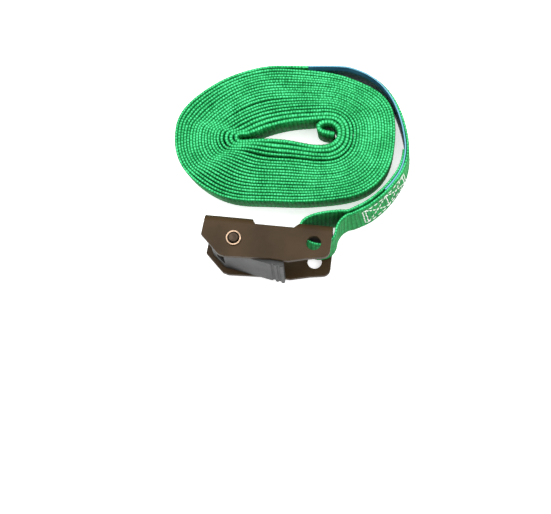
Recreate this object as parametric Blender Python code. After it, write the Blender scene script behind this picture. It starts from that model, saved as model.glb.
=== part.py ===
"""Cam buckle strap: a coiled 25 mm webbing strap with a spring-loaded cam buckle.

The strap stands on its edge as an oval coil. A lead runs off the coil to a sewn eye,
and the eye holds a bent steel frame in which a cam lever turns on one rivet.
Units are metres, +Z is up, +X runs along the buckle from its open end to the eye.
"""
import math

import bmesh
import bpy
from mathutils import Matrix, Vector

MM = 0.001
GAP = 0.3 * MM                      # kept between pieces that touch

# Webbing
WEB_WIDTH = 25.0 * MM
WEB_THICK = 1.1 * MM

# Coil, seen from above: an oval ring around an egg-shaped opening
COIL_YAW = math.radians(5.9)
COIL_CENTRE = Vector((1.7, -2.0)) * MM
COIL_HALF_LENGTH = 53.3 * MM
COIL_HALF_WIDTH = 31.8 * MM
COIL_SQUARENESS = 2.25              # exponent of the outer superellipse
EYE_CENTRE = Vector((3.6, -1.7)) * MM
EYE_HALF_LENGTH = 24.2 * MM
EYE_HALF_WIDTH = 5.0 * MM
EYE_FULLNESS = 0.35                 # how much wider the opening is on its right

# Buckle placement: its tilt rests it on the lower rivet head and the base edge
TILT = math.radians(12.2)
BUCKLE_AT = Vector((-32.1, -49.0, 16.0)) * MM

# Buckle frame
PLATE_THICK = 2.5 * MM
INNER_WIDTH = 28.0 * MM
OUTER_WIDTH = INNER_WIDTH + 2 * PLATE_THICK
BEND_RADIUS = 4.0 * MM              # outer radius of both bends
FRAME_LENGTH = 61.0 * MM
WINDOW_FROM = 23.0 * MM
WINDOW_TO = 46.5 * MM
PIVOT = Vector((14.8, 11.4)) * MM
PIN_HOLE = Vector((52.8, 10.0)) * MM
PIN_HOLE_RADIUS = 3.55 * MM

# Rivet
RIVET_RADIUS = 2.55 * MM
DOME_RADIUS = 4.6 * MM
DOME_HEIGHT = 1.7 * MM
WASHER_RADIUS = 3.65 * MM
WASHER_THICK = 0.9 * MM
PEEN_HEIGHT = 0.9 * MM

# Cam lever
LEVER_WIDTH = 27.4 * MM
BORE_RADIUS = RIVET_RADIUS + GAP
POCKET_WIDTH = 14.3 * MM
POCKET_RADIUS = 4.9 * MM
TOOTH_DEPTH = 0.7 * MM

# Return spring
WIRE_RADIUS = 0.6 * MM
SPRING_RADIUS = 3.7 * MM
SPRING_TURNS = 4.5
SPRING_PITCH = 1.6 * MM

# Lead, label and stitching, placed by their distance along the lead from the throat
LEAD_LIFT = 1.8 * MM                # how much higher the lead is at the buckle
LEAD_FROM = 0.9 * MM                # clearance for the eye to swing at the throat
LEAN_SHARE = 0.55                   # share of the lead over which its lean fades
LAYER_STEP = 2.5 * MM
FOLD_BACK_LENGTH = 46.0 * MM
LABEL_THICK = 0.3 * MM
LABEL_WIDTH = 24.0 * MM
LABEL_FROM = 22.0 * MM
LABEL_TO = 108.0 * MM
THREAD_WIDTH = 0.6 * MM
THREAD_THICK = 0.3 * MM
STITCH_FROM = 6.0 * MM
STITCH_LENGTH = 28.0 * MM
STITCH_HEIGHT = 17.0 * MM
STITCH_CROSSES = 2


# ---------------------------------------------------------------- scene helpers

def clear_scene():
    for item in list(bpy.data.objects):
        bpy.data.objects.remove(item, do_unlink=True)


def material(name, colour, roughness, metallic=0.0):
    made = bpy.data.materials.new(name)
    made.use_nodes = True
    shader = made.node_tree.nodes["Principled BSDF"]
    shader.inputs["Base Color"].default_value = (*colour, 1.0)
    shader.inputs["Roughness"].default_value = roughness
    shader.inputs["Metallic"].default_value = metallic
    return made


def add_object(name, mesh, look=None, parent=None):
    made = bpy.data.objects.new(name, mesh)
    bpy.context.collection.objects.link(made)
    if look is not None:
        mesh.materials.append(look)
    made.parent = parent
    return made


def add_empty(name, location, parent=None, tilt=0.0):
    made = bpy.data.objects.new(name, None)
    bpy.context.collection.objects.link(made)
    made.location = location
    made.rotation_euler = (tilt, 0.0, 0.0)
    made.parent = parent
    return made


def cutter(name, mesh, parent):
    made = add_object(name, mesh, parent=parent)
    made.hide_render = True
    made.display_type = "WIRE"
    return made


def boolean(target, tool, operation):
    cut = target.modifiers.new(operation.title() + " " + tool.name, "BOOLEAN")
    cut.operation = operation
    cut.object = tool
    cut.solver = "EXACT"


def finish_mesh(bm, name, smooth_angle=math.radians(35)):
    bmesh.ops.recalc_face_normals(bm, faces=bm.faces)
    mesh = bpy.data.meshes.new(name)
    bm.to_mesh(mesh)
    bm.free()
    mesh.shade_smooth()
    mesh.set_sharp_from_angle(angle=smooth_angle)
    return mesh


# ---------------------------------------------------------------- shape helpers

def arc(centre, radius, start, end, steps):
    """Points on an arc, with angles in degrees, both ends included."""
    points = []
    for i in range(steps + 1):
        angle = math.radians(start + (end - start) * i / steps)
        points.append(Vector((centre[0] + radius * math.cos(angle),
                              centre[1] + radius * math.sin(angle))))
    return points


def smooth_path(points, steps):
    """A Catmull-Rom curve through the points, with the given steps on each stretch."""
    knots = [2 * points[0] - points[1]] + list(points) + [2 * points[-1] - points[-2]]
    path = []
    for i in range(1, len(knots) - 2):
        for s in range(steps):
            t = s / steps
            before, start, end, after = knots[i - 1:i + 3]
            path.append(0.5 * (2 * start + (end - before) * t
                               + (2 * before - 5 * start + 4 * end - after) * t * t
                               + (3 * start - before - 3 * end + after) * t * t * t))
    path.append(knots[-2].copy())
    return path


def prism(name, outline, low, high, holes=()):
    """A closed outline in XY, extruded from low to high along Z, with open holes."""
    bm = bmesh.new()
    edges = []
    for ring in (outline, *holes):
        verts = [bm.verts.new((p[0], p[1], low)) for p in ring]
        edges += [bm.edges.new((verts[i - 1], verts[i])) for i in range(len(verts))]
    filled = bmesh.ops.triangle_fill(bm, edges=edges, use_beauty=True, use_dissolve=False)
    faces = [item for item in filled["geom"] if isinstance(item, bmesh.types.BMFace)]
    extruded = bmesh.ops.extrude_face_region(bm, geom=faces)
    tops = [item for item in extruded["geom"] if isinstance(item, bmesh.types.BMVert)]
    bmesh.ops.translate(bm, verts=tops, vec=(0, 0, high - low))
    return finish_mesh(bm, name)


def box(name, low, high):
    outline = [(low[0], low[1]), (high[0], low[1]), (high[0], high[1]), (low[0], high[1])]
    return prism(name, outline, low[2], high[2])


def turned(name, profile, steps=32):
    """A profile of (radius, height) points turned about Z; its ends lie on the axis."""
    bm = bmesh.new()
    rings = []
    for radius, height in profile:
        if radius == 0:
            rings.append([bm.verts.new((0, 0, height))])
            continue
        rings.append([bm.verts.new((radius * math.cos(2 * math.pi * i / steps),
                                    radius * math.sin(2 * math.pi * i / steps), height))
                      for i in range(steps)])
    for lower, upper in zip(rings, rings[1:]):
        for i in range(steps):
            j = (i + 1) % steps
            corners = [lower[i % len(lower)], lower[j % len(lower)],
                       upper[j % len(upper)], upper[i % len(upper)]]
            bm.faces.new(list(dict.fromkeys(corners)))
    return finish_mesh(bm, name)


def round_bar(name, radius, low, high, steps=32):
    return turned(name, [(0, low), (radius, low), (radius, high), (0, high)], steps)


def strip(name, path, ups, thick, width):
    """A flat strip: path points are its mid line, ups the unit directions of its width."""
    bm = bmesh.new()
    rings = []
    for i, (point, up) in enumerate(zip(path, ups)):
        ahead = path[min(i + 1, len(path) - 1)] - path[max(i - 1, 0)]
        side = ahead.cross(up).normalized()
        rings.append([bm.verts.new(point + side * a * thick / 2 + up * b * width / 2)
                      for a, b in ((-1, -1), (1, -1), (1, 1), (-1, 1))])
    for first, second in zip(rings, rings[1:]):
        for i in range(4):
            bm.faces.new((first[i - 1], first[i], second[i], second[i - 1]))
    bm.faces.new(rings[0])
    bm.faces.new(rings[-1][::-1])
    return finish_mesh(bm, name)


def offset_path(path, distance):
    """The XY path moved sideways, to its left when distance is positive."""
    moved = []
    for i, point in enumerate(path):
        ahead = path[min(i + 1, len(path) - 1)] - path[max(i - 1, 0)]
        left = Vector((-ahead.y, ahead.x)).normalized()
        moved.append(point + left * distance)
    return moved


# ---------------------------------------------------------------- webbing

def coil_outline(steps=64):
    points = []
    for i in range(steps):
        angle = 2 * math.pi * i / steps
        c, s = math.cos(angle), math.sin(angle)
        local = Vector((math.copysign(abs(c) ** (2 / COIL_SQUARENESS), c) * COIL_HALF_LENGTH,
                        math.copysign(abs(s) ** (2 / COIL_SQUARENESS), s) * COIL_HALF_WIDTH))
        points.append(COIL_CENTRE + Matrix.Rotation(COIL_YAW, 2) @ local)
    return points


def eye_outline(grow=0.0, steps=48):
    points = []
    for i in range(steps):
        angle = 2 * math.pi * i / steps
        local = Vector(((EYE_HALF_LENGTH + grow) * math.cos(angle),
                        (EYE_HALF_WIDTH * (1 + EYE_FULLNESS * math.cos(angle)) + grow)
                        * math.sin(angle)))
        points.append(EYE_CENTRE + Matrix.Rotation(COIL_YAW, 2) @ local)
    return points


def build_coil(look, parent):
    mesh = prism("webbing_coil", coil_outline(), 0.0, WEB_WIDTH, holes=[eye_outline()])
    add_object("webbing_coil", mesh, look, parent)


def build_free_end(look, parent):
    """The cut end of the strap, curled up in the right of the coil's opening."""
    route = [Vector(p) * MM for p in ((24.6, -0.6), (22.9, 2.3), (19.3, 3.1), (16.6, 1.2),
                                      (17.6, -1.6), (20.9, -2.4))]
    path = [Vector((p.x, p.y, WEB_WIDTH / 2)) for p in smooth_path(route, 5)]
    ups = [Vector((0, 0, 1))] * len(path)
    add_object("webbing_free_end", strip("webbing_free_end", path, ups, WEB_THICK, WEB_WIDTH),
               look, parent)


def lead_route():
    """The lead's mid line seen from above, from the buckle's throat to the coil."""
    route = [Vector(p) * MM for p in ((37.4, -41.3), (41.3, -39.1), (45.6, -36.3), (51.2, -30.9),
                                      (56.3, -24.0), (60.0, -15.2), (61.1, -5.8), (59.6, 2.8),
                                      (55.6, 11.2), (49.3, 19.0), (41.3, 25.7), (31.6, 30.6),
                                      (20.0, 33.3))]
    return smooth_path(route, 4)


def lead_poses():
    """Mid-line points and width directions: leaning with the buckle, upright at the coil."""
    path = lead_route()
    last = len(path) - 1
    poses = []
    for i, point in enumerate(path):
        share = min(1.0, i / (LEAN_SHARE * last))
        ease = share * share * (3 - 2 * share)
        ahead = path[min(i + 1, last)] - path[max(i - 1, 0)]
        inward = Vector((-ahead.y, ahead.x, 0)).normalized()
        lean = TILT * (1 - ease)
        up = Vector((0, 0, 1)) * math.cos(lean) + inward * math.sin(lean)
        height = WEB_WIDTH / 2 + LEAD_LIFT * (1 - ease)
        poses.append((Vector((point.x, point.y, height)), up, inward))
    return poses


def along_lead(poses, distance, inset, height):
    """The place at a distance from the throat, moved inward by inset and up by height."""
    walked = 0.0
    for (start, up, inward), (end, next_up, next_inward) in zip(poses, poses[1:]):
        step = (end - start).length
        if walked + step >= distance or end is poses[-1][0]:
            t = (distance - walked) / step
            base = start.lerp(end, t)
            return base + inward.lerp(next_inward, t) * inset + up.lerp(next_up, t) * height
        walked += step


def lead_layer(name, look, parent, start, end, inset, thick, width):
    """A strip that follows the lead from start to end, on its inner side."""
    poses = lead_poses()
    count = max(2, round((end - start) / LAYER_STEP))
    stations = [start + (end - start) * i / count for i in range(count + 1)]
    path = [along_lead(poses, s, inset, 0.0) for s in stations]
    ups = [(along_lead(poses, s, inset, width) - p).normalized() for s, p in zip(stations, path)]
    add_object(name, strip(name, path, ups, thick, width), look, parent)


def build_lead(look, parent):
    length = sum((b[0] - a[0]).length for a, b in zip(lead_poses(), lead_poses()[1:]))
    lead_layer("webbing_lead", look, parent, LEAD_FROM, length, 0.0, WEB_THICK, WEB_WIDTH)


def build_fold_back(look, parent):
    inset = WEB_THICK + 2 * GAP + LABEL_THICK
    lead_layer("webbing_fold_back", look, parent, LEAD_FROM, FOLD_BACK_LENGTH, inset,
               WEB_THICK, WEB_WIDTH)


def build_label(look, parent):
    inset = WEB_THICK / 2 + GAP + LABEL_THICK / 2
    lead_layer("label", look, parent, LABEL_FROM, LABEL_TO, inset, LABEL_THICK, LABEL_WIDTH)


def split_edge(start, end, step):
    count = max(1, round((Vector(end) - Vector(start)).length / step))
    return [Vector(start).lerp(Vector(end), i / count) for i in range(count)]


def ring_of(corners, step):
    points = []
    for start, end in zip(corners, corners[1:] + corners[:1]):
        points += split_edge(start, end, step)
    return points


def build_box_stitching(look, parent):
    """Two crossed boxes sewn side by side, as one flat web of thread on the lead."""
    half = STITCH_HEIGHT / 2
    thread = THREAD_WIDTH
    cell = (STITCH_LENGTH - thread) / STITCH_CROSSES
    outline = ring_of([(0, -half), (STITCH_LENGTH, -half), (STITCH_LENGTH, half), (0, half)],
                      LAYER_STEP)
    holes = []
    for i in range(STITCH_CROSSES):
        left, right = i * cell + thread, (i + 1) * cell
        low, high = -half + thread, half - thread
        middle = Vector(((left + right) / 2, 0.0))
        slant = Vector((right - left, high - low)).normalized()
        shift_x, shift_y = thread / 2 / slant.y, thread / 2 / slant.x
        for a, b, push in (((left + shift_x, low), (right - shift_x, low), (0, -shift_y)),
                           ((right, low + shift_y), (right, high - shift_y), (shift_x, 0)),
                           ((right - shift_x, high), (left + shift_x, high), (0, shift_y)),
                           ((left, high - shift_y), (left, low + shift_y), (-shift_x, 0))):
            holes.append(ring_of([a, b, tuple(middle + Vector(push))], LAYER_STEP))
    mesh = prism("box_stitching", outline, 0.0, THREAD_THICK, holes)
    poses = lead_poses()
    outside = WEB_THICK / 2 + GAP
    for vertex in mesh.vertices:
        s, height, depth = vertex.co
        vertex.co = along_lead(poses, STITCH_FROM + s, -outside - depth, height)
    add_object("box_stitching", mesh, look, parent)


def build_eye(look, buckle):
    """The sewn loop around the frame's strap bar, open at its throat."""
    route = [Vector(p) * MM for p in ((67.6, 7.4), (64.6, 4.7), (62.8, 1.0), (62.2, -3.6),
                                      (60.0, -7.0), (56.0, -8.9), (51.3, -8.5), (47.4, -5.9),
                                      (45.5, -2.6), (45.7, 1.2), (48.3, 4.0), (53.0, 6.3),
                                      (58.5, 7.9), (63.4, 8.8), (67.2, 9.3))]
    path = [Vector((p.x, p.y, 0.0)) for p in smooth_path(route, 3)]
    ups = [Vector((0, 0, 1))] * len(path)
    add_object("webbing_eye", strip("webbing_eye", path, ups, WEB_THICK, WEB_WIDTH),
               look, buckle)


# ---------------------------------------------------------------- buckle frame

def channel_mesh():
    """The bent sheet: a U-section with rounded bends, as long as the frame."""
    half, inner = OUTER_WIDTH / 2, INNER_WIDTH / 2
    depth = 24.0 * MM
    bend, inner_bend = BEND_RADIUS, BEND_RADIUS - PLATE_THICK
    section = [Vector((-depth, -half))]
    section += arc((-bend, -half + bend), bend, -90, 0, 6)
    section += arc((-bend, half - bend), bend, 0, 90, 6)
    section += [Vector((-depth, half)), Vector((-depth, inner))]
    section += arc((-bend, inner - inner_bend), inner_bend, 90, 0, 4)
    section += arc((-bend, -inner + inner_bend), inner_bend, 0, -90, 4)
    section += [Vector((-depth, -inner))]
    mesh = prism("buckle_frame", section, -2 * MM, FRAME_LENGTH + 2 * MM)
    mesh.transform(Matrix(((0, 0, 1, 0), (1, 0, 0, 0), (0, 1, 0, 0), (0, 0, 0, 1))))
    return mesh


def side_outline():
    """The side plates' outline, from the base edge at y = 0 to the lever side at -y."""
    corners = [(0, 0), (22.1, 0), (24.2, 3.2), (42.7, 3.2), (46.0, 0), (61, 0)]
    outline = [Vector((x, 0.5 if y == 0 else -y)) * MM for x, y in corners]
    outline += [p for p in arc((0.0569, -0.0128), 0.0040, 0, -70, 5)]
    outline += [Vector(p) * MM for p in ((51.1, -17.7), (41.7, -20.0), (33.4, -19.5),
                                         (11.4, -20.5), (8.5, -19.8), (-0.9, -10.8))]
    return outline


def build_frame(look, buckle):
    frame = add_object("buckle_frame", channel_mesh(), look, buckle)
    reach = OUTER_WIDTH
    outline = prism("side_outline", side_outline(), -reach, reach)
    boolean(frame, cutter("frame_outline", outline, buckle), "INTERSECT")
    window = box("window", (WINDOW_FROM, -10 * MM, -INNER_WIDTH / 2 + 1.5 * MM),
                 (WINDOW_TO, 5 * MM, INNER_WIDTH / 2 - 1.5 * MM))
    boolean(frame, cutter("frame_window", window, buckle), "DIFFERENCE")
    for name, centre, radius in (("rivet_hole", PIVOT, BORE_RADIUS),
                                 ("pin_hole", PIN_HOLE, PIN_HOLE_RADIUS)):
        bore = cutter("frame_" + name, round_bar(name, radius, -reach, reach), buckle)
        bore.location = (centre.x, -centre.y, 0)
        boolean(frame, bore, "DIFFERENCE")


# ---------------------------------------------------------------- rivet and cam

def build_rivet(look, washer_look, pivot):
    half = OUTER_WIDTH / 2
    head = [(0, -half - GAP - DOME_HEIGHT)]
    for i in range(1, 6):
        angle = math.radians(90 * i / 5)
        head.append((DOME_RADIUS * math.sin(angle),
                     -half - GAP - DOME_HEIGHT * (0.25 + 0.75 * math.cos(angle))))
    top = half + GAP + WASHER_THICK
    profile = head + [(DOME_RADIUS, -half - GAP), (RIVET_RADIUS, -half - GAP),
                      (RIVET_RADIUS, top + PEEN_HEIGHT - 0.4 * MM),
                      (RIVET_RADIUS - 0.4 * MM, top + PEEN_HEIGHT), (0, top + PEEN_HEIGHT)]
    add_object("pivot_rivet", turned("pivot_rivet", profile), look, pivot)
    low, high = half + GAP, half + GAP + WASHER_THICK
    washer = add_object("rivet_washer", round_bar("rivet_washer", WASHER_RADIUS, low, high),
                        washer_look, pivot)
    bore = cutter("washer_bore", round_bar("washer_bore", BORE_RADIUS, low - MM, high + MM), pivot)
    boolean(washer, bore, "DIFFERENCE")


def lever_outline():
    """The cam lever's side view, about its pivot, with a toothed nose towards the base."""
    back = [(9.5, 17.3), (2.9, 11.6), (2.5, 10.6), (3.5, 6.4), (5.8, 4.1)]
    nose = []
    for i in range(4):
        x = 7.6 + 1.6 * i
        nose += [(x, 3.5), (x + 0.9, 3.5), (x + 1.1, 3.5 + TOOTH_DEPTH / MM)]
    belly = [(15.6, 4.9)]
    tip = [(20.4, 13.0), (20.9, 15.6), (33.0, 18.4), (39.0, 19.4), (39.6, 20.1), (39.5, 22.2),
           (38.9, 22.7), (37.9, 22.5), (37.5, 21.8), (36.7, 21.7), (36.1, 22.2), (35.1, 22.0),
           (34.7, 21.3), (33.9, 21.2), (33.3, 21.7)]
    outline = [Vector(p) * MM for p in back + nose + belly]
    outline += [PIVOT + p for p in arc((0, 0), 5.8 * MM, -60, -5, 4)]
    outline += [Vector(p) * MM for p in tip]
    return [Vector((p.x - PIVOT.x, PIVOT.y - p.y)) for p in outline]


def build_lever(look, pivot):
    half = LEVER_WIDTH / 2
    lever = add_object("cam_lever", prism("cam_lever", lever_outline(), -half, half), look, pivot)
    reach = OUTER_WIDTH
    bore = cutter("lever_bore", round_bar("lever_bore", BORE_RADIUS, -reach, reach), pivot)
    boolean(lever, bore, "DIFFERENCE")
    wide = POCKET_WIDTH / 2
    pocket = cutter("spring_pocket", round_bar("spring_pocket", POCKET_RADIUS, -wide, wide), pivot)
    boolean(lever, pocket, "DIFFERENCE")
    mouth = [Vector(p) * MM for p in ((0, -1.0), (-7.5, -8.5), (-11.5, -4.5), (-4.0, 2.6))]
    slot = cutter("bevel_slot", prism("bevel_slot", mouth, -wide, wide), pivot)
    boolean(lever, slot, "DIFFERENCE")
    groove = 1.2 * MM
    ends = spring_half_height()
    for name, low, high, level in (("base_leg_slot", (0, 2.6), (7, 8.2), -ends),
                                   ("thumb_leg_slot", (0, -4.9), (7, -2.6), ends)):
        mesh = box(name, (low[0] * MM, low[1] * MM, level - groove),
                   (high[0] * MM, high[1] * MM, level + groove))
        boolean(lever, cutter(name, mesh, pivot), "DIFFERENCE")


def spring_half_height():
    return SPRING_TURNS * SPRING_PITCH / 2


def build_spring(look, pivot):
    """Torsion spring: one leg lies on the frame's base, the other under the thumb plate."""
    rise = spring_half_height()
    steps = 12
    count = round(SPRING_TURNS * steps)
    start = math.radians(90)
    sweep = 2 * math.pi * SPRING_TURNS
    points = []
    for i in range(count + 1):
        angle = start + sweep * i / count
        points.append(Vector((SPRING_RADIUS * math.cos(angle), SPRING_RADIUS * math.sin(angle),
                              -rise + 2 * rise * i / count)))
    base_leg = [Vector((7.6 * MM, 7.8 * MM, -rise)), Vector((1.2 * MM, 3.9 * MM, -rise))]
    thumb_leg = [Vector((1.2 * MM, -3.75 * MM, rise)), Vector((9.3 * MM, -4.0 * MM, rise))]
    curve = bpy.data.curves.new("torsion_spring", "CURVE")
    curve.dimensions = "3D"
    curve.bevel_depth = WIRE_RADIUS
    curve.bevel_resolution = 2
    curve.use_fill_caps = True
    wire = curve.splines.new("POLY")
    route = base_leg + points + thumb_leg
    wire.points.add(len(route) - 1)
    for point, place in zip(wire.points, route):
        point.co = (*place, 1.0)
    add_object("torsion_spring", curve, look, pivot)


# ---------------------------------------------------------------- assembly

def stand_on_origin(root):
    """Move the whole strap so the middle of its footprint is at the origin, at z = 0."""
    bpy.context.view_layer.update()
    graph = bpy.context.evaluated_depsgraph_get()
    corners = []
    for item in bpy.data.objects:
        if item.type == "EMPTY" or item.hide_render:
            continue
        shown = item.evaluated_get(graph)
        mesh = shown.to_mesh()
        corners += [shown.matrix_world @ v.co for v in mesh.vertices]
        shown.to_mesh_clear()
    low = [min(c[i] for c in corners) for i in range(3)]
    high = [max(c[i] for c in corners) for i in range(3)]
    root.location = (-(low[0] + high[0]) / 2, -(low[1] + high[1]) / 2, -low[2])


def main():
    clear_scene()
    green = material("green_webbing", (0.05, 0.42, 0.13), 0.75)
    blue = material("blue_label", (0.10, 0.32, 0.48), 0.6)
    white = material("white_thread", (0.86, 0.86, 0.82), 0.8)
    paint = material("black_paint", (0.035, 0.028, 0.022), 0.35, 0.3)
    charcoal = material("charcoal_casting", (0.035, 0.036, 0.038), 0.5, 0.4)
    plated = material("plated_steel", (0.30, 0.24, 0.18), 0.35, 0.9)
    wire = material("spring_steel", (0.35, 0.35, 0.36), 0.35, 1.0)

    root = add_empty("strap", (0, 0, 0))
    buckle = add_empty("buckle", BUCKLE_AT, root, -TILT)
    pivot = add_empty("cam_pivot", (PIVOT.x, -PIVOT.y, 0), buckle)

    build_coil(green, root)
    build_free_end(green, root)
    build_lead(green, root)
    build_fold_back(green, root)
    build_label(blue, root)
    build_box_stitching(white, root)
    build_eye(green, buckle)
    build_frame(paint, buckle)
    build_rivet(plated, plated, pivot)
    build_lever(charcoal, pivot)
    build_spring(wire, pivot)
    stand_on_origin(root)


main()
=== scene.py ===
"""The looks of the coiled cam buckle strap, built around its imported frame. Lengths are in metres."""

import math
import random

import bmesh
import bpy
import numpy as np
from mathutils import Matrix, Vector


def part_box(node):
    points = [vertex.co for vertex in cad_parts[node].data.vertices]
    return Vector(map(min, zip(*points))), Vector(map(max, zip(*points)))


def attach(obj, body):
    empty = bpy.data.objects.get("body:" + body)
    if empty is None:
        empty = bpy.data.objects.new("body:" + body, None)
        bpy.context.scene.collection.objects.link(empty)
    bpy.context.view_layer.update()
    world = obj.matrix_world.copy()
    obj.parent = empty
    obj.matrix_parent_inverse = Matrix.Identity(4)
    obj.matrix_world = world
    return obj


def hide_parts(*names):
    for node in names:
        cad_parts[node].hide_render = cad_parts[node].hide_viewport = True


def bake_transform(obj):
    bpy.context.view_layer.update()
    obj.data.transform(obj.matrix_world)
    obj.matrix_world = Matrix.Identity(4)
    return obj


MM = 0.001

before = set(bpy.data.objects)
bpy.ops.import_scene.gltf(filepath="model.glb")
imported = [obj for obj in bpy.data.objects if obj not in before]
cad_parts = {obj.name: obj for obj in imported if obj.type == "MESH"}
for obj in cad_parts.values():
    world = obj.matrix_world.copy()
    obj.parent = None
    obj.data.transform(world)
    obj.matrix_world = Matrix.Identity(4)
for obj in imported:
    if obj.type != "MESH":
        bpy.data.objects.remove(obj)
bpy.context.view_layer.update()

# The webbing
WEB_WIDTH = 25.0 * MM
WEB_THICK = 1.2 * MM
EDGE_ROUND = 0.42 * MM              # how far the selvedge's rounding reaches down the face
SHOULDER = 0.12 * MM                # how far the selvedge's corners lie below its crown
BEAD_PITCH = 1.35 * MM              # spacing of the weft loops along the selvedge
BEAD_HEIGHT = 0.34 * MM
BEAD_WIDENING = 0.22                # how much a loop adds to the thickness at the edge
BEAD_REACH = 0.55 * MM
RIB_PITCH = 2.1 * MM                # spacing of the ribs across the faces
RIB_HEIGHT = 0.05 * MM
FACE_ROWS = 12                      # points across a face, and across one hidden in the coil
COIL_FACE_ROWS = 2
STEP = 0.45 * MM                    # spacing of the stations along the strap
EYE_STEP = 0.4 * MM
LEAD_STATIONS = 600                 # how many stations reach well past the lead
SELVEDGE_FROM = 12.1                # height from which it has the selvedge's colour, with painted highlights on the loops and painted shade down their sides, in mm
TRACER_AT, TRACER_HALF = 10.1, 0.26     # height and half width of the dark threads, in mm
DASH_PITCH, DASH_SHARE = 6.2, 0.44      # spacing of their dashes in mm, and the dark part of it

# The coil, about the middle of its CAD solid
COIL_LOW, COIL_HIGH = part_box("webbing_coil")
COIL_CENTRE = np.array(((COIL_LOW.x + COIL_HIGH.x) / 2, (COIL_LOW.y + COIL_HIGH.y) / 2))
COIL_YAW = math.radians(5.9)
COIL_SHIFT = np.array((-0.6, -1.8)) * MM    # from the CAD solid's middle to the oval's
COIL_HALF_LENGTH = 53.1 * MM
COIL_HALF_WIDTH = 32.8 * MM
COIL_SQUARENESS = 2.4
FULL_RIGHT, FULL_ABOVE = 0.042, -0.034      # how much fuller its corners are on two sides
COIL_TURNS = 18.6
COIL_FROM = math.radians(72)        # where the lead meets the coil
COIL_MEETS = 134 * MM               # how far that is along the strap from the throat
LOOSE_FROM = 0.70                   # share of the turns after which they lie looser
LOOSE_SHARE = 0.10
# The innermost turn's mid line, in millimetres along and across the coil from its centre
OPENING_OUTLINE = ((26.2, 0.3), (25.0, 3.9), (20.5, 5.6), (12.0, 5.0), (2.0, 4.2), (-8.0, 2.1),
                   (-17.0, -0.7), (-22.2, -0.9), (-24.0, -2.5), (-22.2, -4.3), (-17.0, -4.0),
                   (-8.0, -3.8), (0.0, -4.7), (8.0, -6.5), (14.0, -7.4), (20.5, -7.2),
                   (24.8, -4.2))
OPENING_MIDDLE = np.array((1.2, -1.9)) * MM     # an oval that its angles are measured on
OPENING_SIZE = np.array((24.2, 4.6)) * MM
LOOSE_LENGTH = 430 * MM             # the innermost turns lean and show more of their edge
LOOSE_SWELL = 0.42
END_SWELL = 0.16                    # turns fill the wider spacing at the coil's two ends
LABEL_ROOM = 0.028                  # how much wider the first turn starts, for the label
SETTLE_LENGTH = 30 * MM             # stretch over which the turns' heights start to vary
# Single gaps between turns: where round the coil, how narrow, how wide, and after which share
# of the turns
GAPS = ((math.radians(-90), 2, 0.022, 0.80), (math.radians(180), 4, 0.012, 0.86),
        (math.pi / 2 + 0.5, 6, 0.016, 0.62))
GAP_SPREAD = 0.016
SAMPLES_A_TURN = 400

# Where part.py's origin lies in the frame, and the lead's route seen from it, about as there
ROUTE_SHIFT = COIL_CENTRE - np.array((1.7, -2.0)) * MM
LEAD_ROUTE = ((37.4, -41.3), (41.3, -39.1), (45.6, -36.3), (51.2, -30.9), (56.3, -24.0),
              (60.4, -15.2), (61.3, -5.8), (59.2, 3.2), (55.6, 12.0), (51.0, 19.3),
              (45.2, 25.0), (38.2, 28.9), (31.2, 30.9), (25.2, 31.4))
JOIN_LENGTH = 12 * MM               # from the route's last point to where the coil begins
LEAD_LIFT = 1.8 * MM                # how far the throat stands above the table
LEAN_SHARE = 0.55                   # share of the lead over which its lean and lift end
# The free end's curl, in millimetres along and across the coil from its centre
CURL_ROUTE = ((14.5, -7.6), (19.2, -7.5), (23.3, -5.9), (25.7, -2.6), (25.4, 1.6), (22.5, 4.2),
              (19.4, 4.7), (16.5, 4.0), (15.2, 2.1), (16.4, 0.3), (18.7, -0.6), (21.4, -1.1),
              (23.2, -1.6))

# The buckle's place and tilt, as in part.py
TILT = math.radians(12.2)
BUCKLE_AT = Vector((*(ROUTE_SHIFT + np.array((-32.1, -49.0)) * MM), 16.0 * MM))
EYE_ROUTE = ((67.6, 7.4), (64.6, 4.7), (62.8, 1.0), (62.2, -3.6), (60.0, -7.0), (56.0, -8.9),
             (51.3, -8.5), (47.4, -5.9), (45.5, -2.6), (45.7, 1.2), (48.3, 4.0), (53.0, 6.3),
             (58.5, 7.9), (63.4, 8.8), (67.2, 9.3))
FOLD_INSET = 2.0 * MM               # how far inside the lead the folded-back end lies
FOLD_LENGTH = 46.0 * MM
BEND_LENGTH = 5.0 * MM              # stretch beside the throat that bends with the buckle
HEM_LENGTH = 46.0 * MM              # the free end's doubled stretch, and how much it adds
HEM_SWELL = 0.35

# The label, a doubled tape
LABEL_THICK = 0.75 * MM
LABEL_WIDTH = 24.0 * MM
LABEL_GAP = 0.06 * MM               # between the lead's inner face and the tape
LABEL_WAVE = 0.15 * MM              # how far the tape waves off it
LABEL_CROWN = 0.2 * MM              # how far its upper corners lie below its crown
LABEL_STATIONS = 120
LABEL_RISE = 1.3 * MM               # how far its upper edge stands proud near the coil
LABEL_LEAN = 1.2 * MM               # and leans out over the webbing there
LABEL_PROUD_FROM = 60 * MM
LABEL_PROUD_REACH = 30 * MM
LABEL_FROM = 22.0 * MM
LABEL_TO = 118.0 * MM
LABEL_ROWS = (-12.0, -12.0, 11.0, 12.0, 12.6, 12.0, 11.0)   # "across" of its seven corners

# The box stitching, along the lead and over its height
STITCH_FROM = 6.0 * MM
STITCH_SPAN = 28.0 * MM
STITCH_HALF = 8.6 * MM
STITCH_LENGTH = 2.5 * MM
STITCH_GAP = 0.5 * MM
STITCH_DOUBLE = 1.5 * MM            # spacing of the doubled line at both ends
STITCH_WANDER = 0.15 * MM
THREAD_RADIUS = 0.30 * MM

random.seed(7)


# ---------------------------------------------------------------- paths

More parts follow.
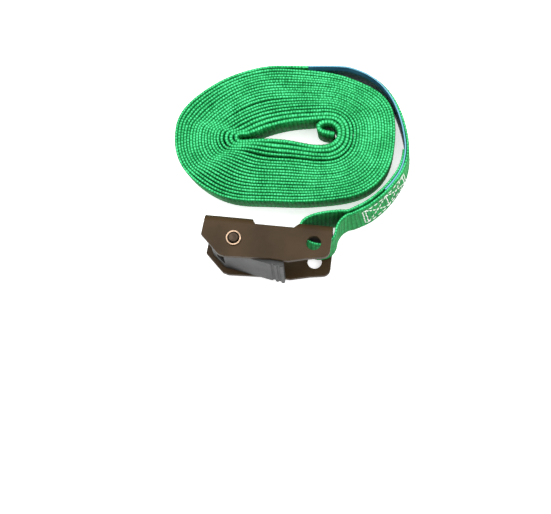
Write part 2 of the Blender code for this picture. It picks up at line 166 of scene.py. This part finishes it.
def smooth_path(points, steps):
    """A Catmull-Rom curve through the points, with the given steps on each stretch."""
    knots = np.array(points, float)
    knots = np.vstack((2 * knots[0] - knots[1], knots, 2 * knots[-1] - knots[-2]))
    path = []
    for i in range(1, len(knots) - 2):
        before, start, end, after = knots[i - 1:i + 3]
        for t in np.arange(steps) / steps:
            path.append(0.5 * (2 * start + (end - before) * t
                               + (2 * before - 5 * start + 4 * end - after) * t ** 2
                               + (3 * start - before - 3 * end + after) * t ** 3))
    return np.vstack((path, knots[-2]))


def distances_along(points):
    """Each point's distance from the first, measured along the path."""
    return np.concatenate(([0], np.cumsum(np.linalg.norm(np.diff(points, axis=0), axis=1))))


def path_length(points):
    return float(distances_along(points)[-1])


def resample(points, step):
    """Points at even distances along a path."""
    along = distances_along(points)
    count = max(2, int(round(along[-1] / step)))
    wanted = np.linspace(0, along[-1], count + 1)
    return np.stack([np.interp(wanted, along, column) for column in points.T], axis=1)


def softened(points, reach):
    """A moving average that keeps both ends in place."""
    kernel = np.hanning(2 * reach + 3)[1:-1]
    kernel /= kernel.sum()
    padded = np.vstack((2 * points[0] - points[reach:0:-1], points,
                        2 * points[-1] - points[-2:-reach - 2:-1]))
    return np.stack([np.convolve(column, kernel, "valid") for column in padded.T], axis=1)


def directions(points):
    """The unit vector ahead at each point of a path."""
    ahead = np.gradient(points, axis=0)
    return ahead / np.linalg.norm(ahead, axis=1)[:, None]


def smooth_step(x):
    """Eases from 0 to 1 while x goes from 0 to 1."""
    x = np.clip(x, 0, 1)
    return x * x * (3 - 2 * x)


def rotated(points, angle):
    """Plan points turned anticlockwise about the origin."""
    c, s = math.cos(angle), math.sin(angle)
    return points @ np.array(((c, s), (-s, c)))


def coil_point(turn):
    """The strap's mid line in the coil, turn by turn inwards from where the lead meets it."""
    angle = COIL_FROM + 2 * math.pi * turn
    c, s = np.cos(angle), np.sin(angle)
    power = 2 / COIL_SQUARENESS
    corner = 1 + np.sin(2 * angle) ** 2 * (FULL_RIGHT * c + FULL_ABOVE * s)
    corner = corner + LABEL_ROOM * (1 - smooth_step(turn / 0.12))
    outer = np.stack((np.sign(c) * np.abs(c) ** power * COIL_HALF_LENGTH * corner,
                      np.sign(s) * np.abs(s) ** power * COIL_HALF_WIDTH * corner), axis=1)
    outer = outer + COIL_SHIFT
    inner = opening_point(angle)
    depth = layer_depth(turn / COIL_TURNS) + looseness(angle, turn / COIL_TURNS)
    return outer + (inner - outer) * depth[:, None]


def opening_point(angle):
    """The opening's outline at the angles that the oval outside it is drawn with."""
    steps = 12
    knots = np.array(OPENING_OUTLINE) * MM
    closed = smooth_path(np.vstack((knots[-2:], knots, knots[:2])), steps)
    offset = (closed - OPENING_MIDDLE) / OPENING_SIZE
    turned = np.unwrap(np.arctan2(offset[:, 1], offset[:, 0]))
    once = turned[steps:-steps] - 2 * math.pi * round(turned[steps] / (2 * math.pi))
    reach = np.mod(angle - once[0], 2 * math.pi) + once[0]
    return np.stack([np.interp(reach, once, column[steps:-steps]) for column in closed.T], axis=1)


def layer_depth(share):
    """How deep a turn lies between the outline and the opening: the last ones lie loose."""
    loose = np.clip(share - LOOSE_FROM, 0, 1) ** 2 / (1 - LOOSE_FROM) ** 2
    return share - LOOSE_SHARE * (share - loose)


def looseness(angle, share):
    """Where single gaps open between turns: a shift of depth from one turn on."""
    shift = 0.0
    for direction, narrowness, width, after in GAPS:
        facing = np.clip(np.cos(angle - direction), 0, 1) ** narrowness
        shift = shift + facing * width * (smooth_step((share - after) / GAP_SPREAD) - share)
    return shift


def sway(points):
    """Slow bends that all layers share, so that the coil is not a perfect oval."""
    x, y = points[:, 0] / MM, points[:, 1] / MM
    dx = 0.35 * np.sin(y / 9.0 + 0.8) + 0.20 * np.sin(x / 7.0 + y / 13.0)
    dy = 0.35 * np.sin(x / 11.0 + 1.9) + 0.20 * np.sin(x / 5.3 - y / 9.0)
    outside = smooth_step((np.hypot(x / 26.0, y / 9.0) - 1.0) / 1.0)
    return points + np.stack((dx * outside, dy * outside), axis=1) * MM


def coil_path():
    """The coil's mid line in the plan, from the lead to the last turn."""
    turns = np.linspace(0, COIL_TURNS, int(COIL_TURNS * SAMPLES_A_TURN))
    points = sway(coil_point(turns))
    return rotated(points, COIL_YAW) + COIL_CENTRE


def strap_plan():
    """The whole strap's mid line seen from above, from the throat to its free end."""
    lead = np.array(LEAD_ROUTE) * MM + ROUTE_SHIFT
    coil = coil_path()
    curl = rotated(np.array(CURL_ROUTE) * MM, COIL_YAW) + COIL_CENTRE
    # Both listed ends run through a few of the coil's points, so that they join it smoothly
    start = smooth_path(np.vstack((lead, coil[14:40:12])), 24)[:-24]
    end = smooth_path(np.vstack((coil[-30::14], curl)), 16)[32:]
    plan = resample(np.vstack((start, coil[26:-16], end)), STEP)
    return softened(plan, 7)


def uneven_rise(along):
    """How far the coil's turns stand above each other, in slow waves along the strap."""
    s = along / MM
    return (0.62 + 0.22 * (np.sin(s / 31.0) + np.sin(s / 12.7 + 1.0) + 0.8 * np.sin(s / 5.9))) * MM


def strap_frames():
    """Place, width direction and inward direction at every station of the strap."""
    plan = strap_plan()
    ahead = directions(plan)
    inward = np.stack((-ahead[:, 1], ahead[:, 0], np.zeros(len(plan))), axis=1)
    along = distances_along(plan)
    lead_length = path_length(smooth_path(np.array(LEAD_ROUTE) * MM, 8)) + JOIN_LENGTH
    ease = smooth_step(along / (LEAN_SHARE * lead_length))
    lean = TILT * (1 - ease)
    up = inward * np.sin(lean)[:, None] + np.array((0, 0, 1.0)) * np.cos(lean)[:, None]
    settled = smooth_step((along - lead_length) / SETTLE_LENGTH)
    height = WEB_WIDTH / 2 + LEAD_LIFT * (1 - ease) + uneven_rise(along) * settled
    place = np.column_stack((plan, height))
    return place, up, inward, along


def in_buckle(points):
    """Points of the buckle's own plan (along it, towards the coil), placed in the frame."""
    turn = Matrix.Rotation(-TILT, 3, "X")
    return np.array([BUCKLE_AT + turn @ Vector((x, y, 0)) for x, y in points])


# ---------------------------------------------------------------- webbing meshes

def cross_section(face_rows):
    """The strip's outline across, up one face and down the other, as (side, height)."""
    half, thick = WEB_WIDTH / 2, WEB_THICK / 2
    heights = np.linspace(-half + EDGE_ROUND, half - EDGE_ROUND, face_rows)
    face = [(1.0, h) for h in heights]
    crown = [(0.66, half - SHOULDER), (0.0, half), (-0.66, half - SHOULDER)]
    back = [(-1.0, h) for h in heights[::-1]]
    bottom = [(-side, -height) for side, height in crown]
    ring = face + crown + back + bottom
    return np.array([(side * thick, height) for side, height in ring])


def bead_wave(along):
    """The weft loops along the selvedge, from 0 between two to 1 on one, not quite evenly."""
    s = along / MM
    drift = 0.9 * np.sin(s * 0.23) + 0.8 * np.sin(s * 0.071 + 1.0)
    return np.abs(np.sin(math.pi * along / BEAD_PITCH + drift))[:, None]


def woven_points(place, up, side, along, ring, swelling):
    """The strip's points, station by station, with ribs on its faces and beads on its edges."""
    edge = smooth_step((np.abs(ring[:, 1]) - (WEB_WIDTH / 2 - BEAD_REACH)) / (0.4 * MM))[None, :]
    bead = bead_wave(along)
    wander = (0.3 * np.sin(along / MM * 0.9) + 0.2 * np.sin(along / MM * 0.37))[:, None]
    rib = np.sin(2 * math.pi * along / RIB_PITCH)[:, None] * (1 - edge)
    sides, heights = ring[None, :, 0], ring[None, :, 1]
    sides = (sides * (1 + BEAD_WIDENING * (bead - 0.7) * edge)
             + np.sign(sides) * rib * RIB_HEIGHT) * swelling[:, None]
    heights = heights + np.sign(heights) * (bead + wander - 0.9) * BEAD_HEIGHT * edge
    return (place[:, None, :] + side[:, None, :] * sides[..., None]
            + up[:, None, :] * heights[..., None])


def strip_faces(count, rows):
    """Quads between neighbouring stations, and a cap at both ends."""
    first = np.arange(count - 1)[:, None] * rows
    column = np.arange(rows)[None, :]
    quads = np.stack((first + column, first + rows + column,
                      first + rows + (column + 1) % rows, first + (column + 1) % rows), axis=2)
    faces = quads.reshape(-1, 4).tolist()
    faces.append(list(range(rows)))
    faces.append([(count - 1) * rows + r for r in range(rows - 1, -1, -1)])
    return faces


def webbing_mesh(name, place, up, side, along, face_rows, swelling=None):
    """A closed woven strip. side points to one face; along is each station's distance."""
    swelling = np.ones(len(place)) if swelling is None else swelling
    ring = cross_section(face_rows)
    count, rows = len(place), len(ring)
    points = woven_points(place, up, side, along, ring, swelling)
    mesh = bpy.data.meshes.new(name)
    mesh.from_pydata(points.reshape(-1, 3).tolist(), [], strip_faces(count, rows))
    for label, values in (("along", np.repeat(along / MM, rows)),
                          ("across", np.tile(ring[:, 1] / MM, count)),
                          ("through", np.tile(ring[:, 0] / (WEB_THICK / 2), count)),
                          ("bead", np.repeat(bead_wave(along)[:, 0], rows))):
        attribute = mesh.attributes.new(label, "FLOAT", "POINT")
        attribute.data.foreach_set("value", values.astype(np.float32))
    facing_out(mesh)
    mesh.shade_smooth()
    mesh.set_sharp_from_angle(angle=math.radians(80))
    made = bpy.data.objects.new(name, mesh)
    bpy.context.scene.collection.objects.link(made)
    return made


def facing_out(mesh):
    """Turns a closed mesh's faces outward."""
    bm = bmesh.new()
    bm.from_mesh(mesh)
    if bm.calc_volume(signed=True) < 0:
        bmesh.ops.reverse_faces(bm, faces=bm.faces)
    bm.to_mesh(mesh)
    bm.free()


def eye_frames(step):
    """The sewn loop from the lead, round the frame's bar and back along the lead."""
    place, up, inward, along = STRAP
    joined = along <= along[SPLIT]
    loop = in_buckle(np.array(EYE_ROUTE) * MM)
    loop_up = np.array(Matrix.Rotation(-TILT, 3, "X") @ Vector((0, 0, 1)))
    out = place[joined][::-1]
    back = (place + inward * FOLD_INSET)[joined]
    knots = np.vstack((out[::4], loop, back[4::4], back[-1:]))
    line = resample(smooth_path(knots, 12), step)
    line = softened(line, 5)
    line[0], line[-1] = out[0], back[-1]
    ahead = directions(line)
    distance = distances_along(line)
    reach = 2.2 * BEND_LENGTH
    share = 1 - smooth_step(np.minimum(distance, distance[-1] - distance) / reach)
    end_up = up[joined][-1]
    ups = loop_up[None, :] + (end_up - loop_up)[None, :] * share[:, None]
    ups /= np.linalg.norm(ups, axis=1)[:, None]
    sides = np.cross(ahead, ups)
    return line, ups, sides, distance


STRAP = strap_frames()
SPLIT = int(np.searchsorted(STRAP[3], BEND_LENGTH))     # the station they all share


def strap_swelling(along, inward):
    """How much thicker the strap looks at each station than one tight layer of webbing."""
    to_end = along[-1] - along
    hem = HEM_SWELL * smooth_step((HEM_LENGTH - to_end) / (0.3 * HEM_LENGTH))
    loose = LOOSE_SWELL * smooth_step((LOOSE_LENGTH - to_end) / (0.4 * LOOSE_LENGTH))
    at_ends = END_SWELL * inward[:, 0] ** 2 * (along > COIL_MEETS)
    return 1 + hem + loose + at_ends


def build_webbing():
    """Cuts the strap's stations into the coil, the lead, the sewn eye and the folded end."""
    place, up, inward, along = STRAP
    join = int(np.searchsorted(along, COIL_MEETS))
    swelling = strap_swelling(along, inward)
    pieces = {}
    for name, part, rows in (("webbing_coiled", slice(join, None), COIL_FACE_ROWS),
                             ("webbing_lead_run", slice(SPLIT, join + 1), FACE_ROWS)):
        made = webbing_mesh(name, place[part], up[part], -inward[part], along[part], rows,
                            swelling[part])
        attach(made, "webbing")
        pieces[name] = made
    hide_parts("webbing_coil", "webbing_free_end")
    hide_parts("webbing_lead")

    line, ups, sides, distance = eye_frames(EYE_STEP)
    eye = webbing_mesh("webbing_sewn_eye", line, ups, sides, along[SPLIT] - distance, FACE_ROWS)
    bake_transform(eye)
    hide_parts("webbing_eye")
    pieces["webbing_sewn_eye"] = eye

    folded = slice(SPLIT, int(np.searchsorted(along, FOLD_LENGTH)))
    inside = place[folded] + inward[folded] * FOLD_INSET
    end = webbing_mesh("webbing_folded_end", inside, up[folded], -inward[folded],
                       2 * along[SPLIT] - distance[-1] - along[folded], FACE_ROWS)
    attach(end, "webbing")
    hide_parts("webbing_fold_back")
    pieces["webbing_folded_end"] = end
    return list(pieces.values())


def station(distance, inset=0.0, height=0.0):
    """The place at a distance from the throat, moved inward and up the webbing's width."""
    place, up, inward, along = STRAP
    at = [np.array([np.interp(distance, along[:LEAD_STATIONS], axis[:LEAD_STATIONS])
                    for axis in values.T]) for values in (place, up, inward)]
    return at[0] + at[1] * height + at[2] * inset


def build_label():
    """A thin printed tape sewn in between the lead and the folded-back end."""
    inset = WEB_THICK / 2 + LABEL_GAP + LABEL_THICK / 2
    distances = np.linspace(LABEL_FROM, LABEL_TO, LABEL_STATIONS)
    place = np.array([station(d, inset + LABEL_WAVE * math.sin(d / MM / 6)) for d in distances])
    up = np.array([station(d, 0, 1.0) - station(d) for d in distances])
    up /= np.linalg.norm(up, axis=1)[:, None]
    inward = np.array([station(d, 1.0) - station(d) for d in distances])
    inward /= np.linalg.norm(inward, axis=1)[:, None]
    bm = bmesh.new()
    rings = []
    proud = smooth_step((distances - LABEL_PROUD_FROM) / LABEL_PROUD_REACH)
    half = LABEL_WIDTH / 2
    for p, u, n, share in zip(place, up, inward, proud):
        top = half + (0.4 * MM + LABEL_RISE * share)
        lean = -LABEL_LEAN * share
        brow = top - LABEL_CROWN
        corners = ((-1, -half, 0), (1, -half, 0), (1, half - MM, 0), (1, brow, lean),
                   (0, top, lean), (-1, brow, lean), (-1, half - MM, 0))
        rings.append([bm.verts.new(p + n * (a * LABEL_THICK / 2 + aside) + u * height)
                      for a, height, aside in corners])
    for first, second in zip(rings, rings[1:]):
        for i in range(len(first)):
            bm.faces.new((first[i - 1], first[i], second[i], second[i - 1]))
    bm.faces.new(rings[0])
    bm.faces.new(rings[-1][::-1])
    bmesh.ops.recalc_face_normals(bm, faces=bm.faces)
    mesh = bpy.data.meshes.new("label_tape")
    bm.to_mesh(mesh)
    bm.free()
    values = np.repeat(distances / MM, len(LABEL_ROWS))
    mesh.attributes.new("along", "FLOAT", "POINT").data.foreach_set("value", values)
    across = np.tile(np.array(LABEL_ROWS), LABEL_STATIONS)
    mesh.attributes.new("across", "FLOAT", "POINT").data.foreach_set("value", across)
    made = bpy.data.objects.new("label_tape", mesh)
    bpy.context.scene.collection.objects.link(made)
    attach(made, "webbing")
    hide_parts("label")
    return made


def stitch_lines():
    """The seam seen flat: two crossed boxes and a doubled line at both ends."""
    low, high = -STITCH_HALF, STITCH_HALF
    start, middle, end = STITCH_FROM, STITCH_FROM + STITCH_SPAN / 2, STITCH_FROM + STITCH_SPAN
    inner = STITCH_DOUBLE
    lines = [((start, low), (end, low)), ((end, high), (start, high))]
    lines += [((x, low), (x, high)) for x in (start, start + inner, middle, end - inner, end)]
    for left, right in ((start + inner, middle), (middle, end - inner)):
        lines += [((left, low), (right, high)), ((left, high), (right, low))]
    return lines


def add_stitch(bm, start, end, face_inset, outward):
    """One thread that arches out of the cloth at its middle and dives in at both ends."""
    rings, sides, steps = [], 8, 6
    for i in range(steps + 1):
        t = i / steps
        swell = math.sin(math.pi * t)
        radius = THREAD_RADIUS * (0.55 + 0.45 * swell)
        s = start[0] + (end[0] - start[0]) * t
        h = start[1] + (end[1] - start[1]) * t
        depth = (swell - 0.7) * THREAD_RADIUS * outward
        centre = station(s, face_inset + depth, h)
        ahead = station(s + (end[0] - start[0]) * 0.01, face_inset + depth,
                        h + (end[1] - start[1]) * 0.01) - centre
        ahead = Vector(ahead).normalized()
        out = Vector(station(s, face_inset + outward * MM, h) - station(s, face_inset, h))
        out = (out - ahead * out.dot(ahead)).normalized()
        aside = ahead.cross(out)
        rings.append([bm.verts.new(Vector(centre)
                                   + out * radius * math.sin(2 * math.pi * k / sides)
                                   + aside * radius * math.cos(2 * math.pi * k / sides))
                      for k in range(sides)])
    for first, second in zip(rings, rings[1:]):
        for k in range(sides):
            bm.faces.new((first[k - 1], first[k], second[k], second[k - 1]))
    bm.faces.new(rings[0])
    bm.faces.new(rings[-1][::-1])


def build_stitches():
    """White threads on both faces of the sewn lead."""
    bm = bmesh.new()
    faces = ((-WEB_THICK / 2, -1), (FOLD_INSET + WEB_THICK / 2, 1))
    for start, end in stitch_lines():
        length = math.dist(start, end)
        count = round(length / (STITCH_LENGTH + STITCH_GAP))
        for face_inset, outward in faces:
            for i in range(count):
                low = (i + 0.5 * STITCH_GAP / (length / count)) / count
                high = (i + 1 - 0.5 * STITCH_GAP / (length / count)) / count
                wander = random.uniform(-1, 1) * STITCH_WANDER
                ends = [(start[0] + (end[0] - start[0]) * t + wander,
                         start[1] + (end[1] - start[1]) * t + wander) for t in (low, high)]
                add_stitch(bm, *ends, face_inset, outward)
    bmesh.ops.recalc_face_normals(bm, faces=bm.faces)
    mesh = bpy.data.meshes.new("box_stitch_threads")
    bm.to_mesh(mesh)
    bm.free()
    mesh.shade_smooth()
    made = bpy.data.objects.new("box_stitch_threads", mesh)
    bpy.context.scene.collection.objects.link(made)
    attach(made, "webbing")
    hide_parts("box_stitching")
    return made


# ---------------------------------------------------------------- materials

class Look:
    """A Principled material and short ways to add nodes to it."""

    def __init__(self, name, colour, roughness, metallic=0.0):
        self.made = bpy.data.materials.new(name)
        self.made.use_nodes = True
        self.tree = self.made.node_tree
        self.shader = self.tree.nodes["Principled BSDF"]
        self.set("Base Color", (*colour, 1.0))
        self.set("Roughness", roughness)
        self.set("Metallic", metallic)

    def set(self, socket, value):
        self.shader.inputs[socket].default_value = value

    def link(self, source, socket):
        self.tree.links.new(source, self.shader.inputs[socket])

    def node(self, kind, **settings):
        made = self.tree.nodes.new("ShaderNode" + kind)
        for key, value in settings.items():
            setattr(made, key, value)
        return made

    def math(self, operation, first, second=None):
        made = self.node("Math", operation=operation)
        for socket, value in zip(made.inputs, (first, second)):
            if isinstance(value, bpy.types.NodeSocket):
                self.tree.links.new(value, socket)
            elif value is not None:
                socket.default_value = value
        return made.outputs[0]

    def attribute(self, name):
        return self.node("Attribute", attribute_name=name).outputs["Fac"]

    def noise(self, scale, detail=2.0):
        coordinates = self.node("TexCoord").outputs["Object"]
        made = self.node("TexNoise")
        made.inputs["Scale"].default_value = scale
        made.inputs["Detail"].default_value = detail
        self.tree.links.new(coordinates, made.inputs["Vector"])
        return made.outputs["Fac"]

    def ramp(self, source, stops):
        made = self.node("ValToRGB")
        while len(made.color_ramp.elements) < len(stops):
            made.color_ramp.elements.new(0.5)
        for element, (place, colour) in zip(made.color_ramp.elements, stops):
            element.position = place
            element.color = (*colour, 1.0)
        self.tree.links.new(source, made.inputs["Fac"])
        return made.outputs["Color"]

    def mix(self, share, first, second):
        made = self.node("Mix", data_type="RGBA")
        for socket, value in ((made.inputs["Factor"], share), (made.inputs["A"], first),
                              (made.inputs["B"], second)):
            if isinstance(value, bpy.types.NodeSocket):
                self.tree.links.new(value, socket)
            else:
                socket.default_value = value if isinstance(value, float) else (*value, 1.0)
        return made.outputs["Result"]

    def bump(self, height, distance, strength=1.0):
        made = self.node("Bump")
        made.inputs["Distance"].default_value = distance
        made.inputs["Strength"].default_value = strength
        self.tree.links.new(height, made.inputs["Height"])
        self.link(made.outputs["Normal"], "Normal")


def wave(look, source, pitch, phase=0.0):
    """A sine from 0 to 1 along an attribute in millimetres."""
    turn = look.math("ADD", look.math("MULTIPLY", source, 2 * math.pi / pitch), phase)
    return look.math("ADD", look.math("MULTIPLY", look.math("SINE", turn), 0.5), 0.5)


def webbing_look():
    look = Look("woven_green", (0.02, 0.25, 0.06), 0.78)
    along, across = look.attribute("along"), look.attribute("across")
    through = look.attribute("through")
    height = look.math("ABSOLUTE", across)
    warp = wave(look, across, 0.9)
    rib = wave(look, along, RIB_PITCH / MM)
    weft = wave(look, along, RIB_PITCH / MM / 2, 0.6)
    weave = look.math("MULTIPLY", look.math("ADD", rib, look.math("MULTIPLY", weft, 0.5)), warp)
    patches = look.noise(90.0)
    fibres = look.noise(900.0, 4.0)
    tone = look.math("ADD", look.math("MULTIPLY", patches, 0.5),
                     look.math("MULTIPLY", fibres, 0.5))
    tone = look.math("ADD", tone, look.math("MULTIPLY", look.math("SUBTRACT", weave, 0.5), 0.30))
    green = look.ramp(tone, ((0.30, (0.002, 0.120, 0.027)), (0.55, (0.009, 0.250, 0.055)),
                             (0.85, (0.040, 0.470, 0.140))))
    off_line = look.math("ABSOLUTE", look.math("SUBTRACT", height, TRACER_AT))
    on_line = look.math("LESS_THAN", off_line, TRACER_HALF)
    dash = look.math("LESS_THAN", look.math("FRACT", look.math("DIVIDE", along, DASH_PITCH)),
                     DASH_SHARE)
    tracer = look.math("MULTIPLY", on_line, dash)
    green = look.mix(tracer, green, (0.008, 0.020, 0.014))
    # Painted highlight and shade on the selvedge: the crown of each weft loop is painted lighter and
    # its sides darker, where the layers meet, mixed with the webbing's own random tone.
    crown = look.math("SUBTRACT", 1.0, look.math("MULTIPLY", through, through))
    bead_highlight_share = look.math("MULTIPLY", crown, look.math("ADD", look.attribute("bead"), 0.25))
    bead_light_and_tone = look.math("ADD", look.math("MULTIPLY", bead_highlight_share, 0.66),
                     look.math("MULTIPLY", look.math("SUBTRACT", fibres, 0.5), 0.9))
    bead_light_and_tone = look.math("ADD", bead_light_and_tone, look.math("MULTIPLY", look.math("SUBTRACT", patches, 0.5), 0.5))
    loops = look.ramp(bead_light_and_tone, ((0.03, (0.002, 0.095, 0.026)), (0.40, (0.009, 0.235, 0.057)),
                             (0.82, (0.070, 0.560, 0.230))))
    at_edge = look.math("GREATER_THAN", height, SELVEDGE_FROM)
    look.link(look.mix(at_edge, green, loops), "Base Color")
    look.set("Specular IOR Level", 0.12)
    relief = look.math("ADD", look.math("MULTIPLY", weave, 0.7),
                       look.math("MULTIPLY", fibres, 0.6))
    look.bump(relief, 0.00012, 0.8)
    return look.made


def label_look():
    look = Look("label_blue", (0.10, 0.32, 0.50), 0.55)
    along, across = look.attribute("along"), look.attribute("across")
    weave = look.math("MULTIPLY", wave(look, along, 0.8), wave(look, across, 0.8))
    tone = look.math("ADD", look.noise(70.0), look.math("MULTIPLY", weave, 0.12))
    # The tape's faces are painted darker than its own blue, as painted shade for the narrow gap
    # between the lead and the coil, with a random tone over it; its upper edge keeps the tape's
    # lighter blue.
    faces = look.ramp(tone, ((0.35, (0.004, 0.032, 0.070)), (0.52, (0.008, 0.056, 0.112)),
                             (0.75, (0.026, 0.115, 0.175))))
    upper = look.math("GREATER_THAN", across, 12.15)
    look.link(look.mix(upper, faces, (0.115, 0.330, 0.430)), "Base Color")
    look.bump(weave, 0.00005, 0.6)
    return look.made


def thread_look():
    look = Look("thread_white", (0.86, 0.86, 0.82), 0.75)
    twist = look.noise(2500.0, 3.0)
    look.link(look.ramp(twist, ((0.3, (0.62, 0.66, 0.60)), (0.7, (0.92, 0.92, 0.88)))),
              "Base Color")
    look.bump(twist, 0.00005, 0.7)
    return look.made


def paint_look():
    look = Look("frame_paint", (0.030, 0.020, 0.012), 0.45)
    patches = look.noise(60.0, 4.0)
    look.link(look.ramp(patches, ((0.3, (0.027, 0.0165, 0.0075)), (0.7, (0.044, 0.0265, 0.012)))),
              "Base Color")
    grain = look.noise(1600.0, 3.0)
    look.link(look.math("ADD", look.math("MULTIPLY", grain, 0.2), 0.34), "Roughness")
    look.set("Specular IOR Level", 0.06)
    look.bump(grain, 0.00006, 0.5)
    return look.made


def casting_look():
    look = Look("lever_casting", (0.045, 0.046, 0.047), 0.5)
    patches = look.noise(110.0, 5.0)
    look.link(look.ramp(patches, ((0.3, (0.018, 0.019, 0.019)), (0.7, (0.038, 0.039, 0.038)))),
              "Base Color")
    look.set("Specular IOR Level", 0.15)
    grain = look.noise(2200.0, 3.0)
    look.link(look.math("ADD", look.math("MULTIPLY", grain, 0.25), 0.36), "Roughness")
    look.bump(grain, 0.00009, 0.6)
    return look.made


def steel_look(name, dark, light, roughness):
    look = Look(name, light, roughness, 1.0)
    wear = look.noise(240.0, 5.0)
    look.link(look.ramp(wear, ((0.35, dark), (0.65, light))), "Base Color")
    scratches = look.noise(1800.0, 3.0)
    look.link(look.math("ADD", look.math("MULTIPLY", scratches, 0.3), roughness - 0.12),
              "Roughness")
    look.bump(scratches, 0.00004, 0.4)
    return look.made


# ---------------------------------------------------------------- buckle nodes

def dress_node(name, look, bevel, segments=2):
    """A CAD node keeps its mesh and gets flat regions, softened edges and its material."""
    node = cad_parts[name]
    node.data.materials.clear()
    node.data.materials.append(look)
    merge = node.modifiers.new("Weld", "WELD")
    merge.merge_threshold = 0.01 * MM
    flatten = node.modifiers.new("Flat regions", "DECIMATE")
    flatten.decimate_type = "DISSOLVE"
    flatten.angle_limit = math.radians(1.0)
    soften = node.modifiers.new("Edges", "BEVEL")
    soften.width = bevel
    soften.segments = segments
    soften.limit_method = "ANGLE"
    soften.angle_limit = math.radians(32)
    soften.harden_normals = False
    node.data.shade_smooth()
    normals = node.modifiers.new("Normals", "WEIGHTED_NORMAL")
    normals.keep_sharp = False
    return node


# ---------------------------------------------------------------- stage

VIEW_TURN = math.radians(5.8)       # the buckle lies turned by this in the camera's view
# Both seen from part.py's origin, before that turn
CAMERA_AT = np.array((39.0, -121.0)) * MM
AIM_AT = np.array((-5.2, -60.7)) * MM
CAMERA_HEIGHT = 0.700
LENS = 92.7


def add_camera():
    """Looks down on the strap from a little to the right of the buckle."""
    data = bpy.data.cameras.new("camera")
    camera = bpy.data.objects.new("camera", data)
    bpy.context.scene.collection.objects.link(camera)
    data.lens = LENS
    data.sensor_width = 36.0
    data.clip_start = 0.01
    spot = rotated(CAMERA_AT[None, :], VIEW_TURN)[0] + ROUTE_SHIFT
    aim = rotated(AIM_AT[None, :], VIEW_TURN)[0] + ROUTE_SHIFT
    place = Vector((*spot, CAMERA_HEIGHT))
    forward = (Vector((*aim, 0.0)) - place).normalized()
    up_hint = Vector((-math.sin(VIEW_TURN), math.cos(VIEW_TURN), 0.0))
    right = forward.cross(up_hint).normalized()
    up = right.cross(forward)
    camera.matrix_world = Matrix.Translation(place) @ Matrix((
        (right.x, up.x, -forward.x, 0), (right.y, up.y, -forward.y, 0),
        (right.z, up.z, -forward.z, 0), (0, 0, 0, 1)))
    bpy.context.scene.camera = camera


def add_light(name, place, size, power, colour=(1.0, 1.0, 1.0)):
    data = bpy.data.lights.new(name, "AREA")
    data.size = size
    data.energy = power
    data.color = colour
    lamp = bpy.data.objects.new(name, data)
    bpy.context.scene.collection.objects.link(lamp)
    lamp.location = place
    lamp.rotation_euler = (-Vector(place)).to_track_quat("-Z", "Y").to_euler()


def add_stage():
    """A bright table, two soft lamps above it and an even sky."""
    mesh = bpy.data.meshes.new("floor")
    reach = 3.0
    mesh.from_pydata([(-reach, -reach, 0), (reach, -reach, 0), (reach, reach, 0),
                      (-reach, reach, 0)], [], [(0, 1, 2, 3)])
    floor = bpy.data.objects.new("floor", mesh)
    bpy.context.scene.collection.objects.link(floor)
    look = Look("floor_white", (0.78, 0.78, 0.78), 0.9)
    look.set("Emission Color", (1.0, 1.0, 1.0, 1.0))
    look.set("Emission Strength", 0.6)
    mesh.materials.append(look.made)
    world = bpy.data.worlds.new("world")
    bpy.context.scene.world = world
    world.use_nodes = True
    sky = world.node_tree.nodes["Background"]
    sky.inputs["Color"].default_value = (1.0, 1.0, 1.0, 1.0)
    sky.inputs["Strength"].default_value = 0.55
    add_light("key", (-0.18, 0.32, 1.00), 0.7, 15.0)
    add_light("fill", (0.50, 0.00, 0.95), 0.7, 7.0)
    bpy.context.scene.view_settings.view_transform = "Standard"


def main():
    add_stage()
    woven = webbing_look()
    for piece in build_webbing():
        piece.data.materials.append(woven)
    build_label().data.materials.append(label_look())
    build_stitches().data.materials.append(thread_look())
    dress_node("buckle_frame", paint_look(), 0.35 * MM)
    dress_node("cam_lever", casting_look(), 0.25 * MM)
    rivet = steel_look("rivet_steel", (0.020, 0.014, 0.010), (0.050, 0.036, 0.025), 0.5)
    ring = steel_look("washer_steel", (0.10, 0.068, 0.045), (0.30, 0.21, 0.145), 0.42)
    dress_node("pivot_rivet", rivet, 0.15 * MM)
    dress_node("rivet_washer", ring, 0.15 * MM)
    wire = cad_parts["torsion_spring"]
    wire.data.materials.clear()
    wire.data.materials.append(steel_look("spring_steel", (0.25, 0.25, 0.26),
                                          (0.55, 0.55, 0.56), 0.3))
    wire.data.shade_smooth()
    add_camera()


main()
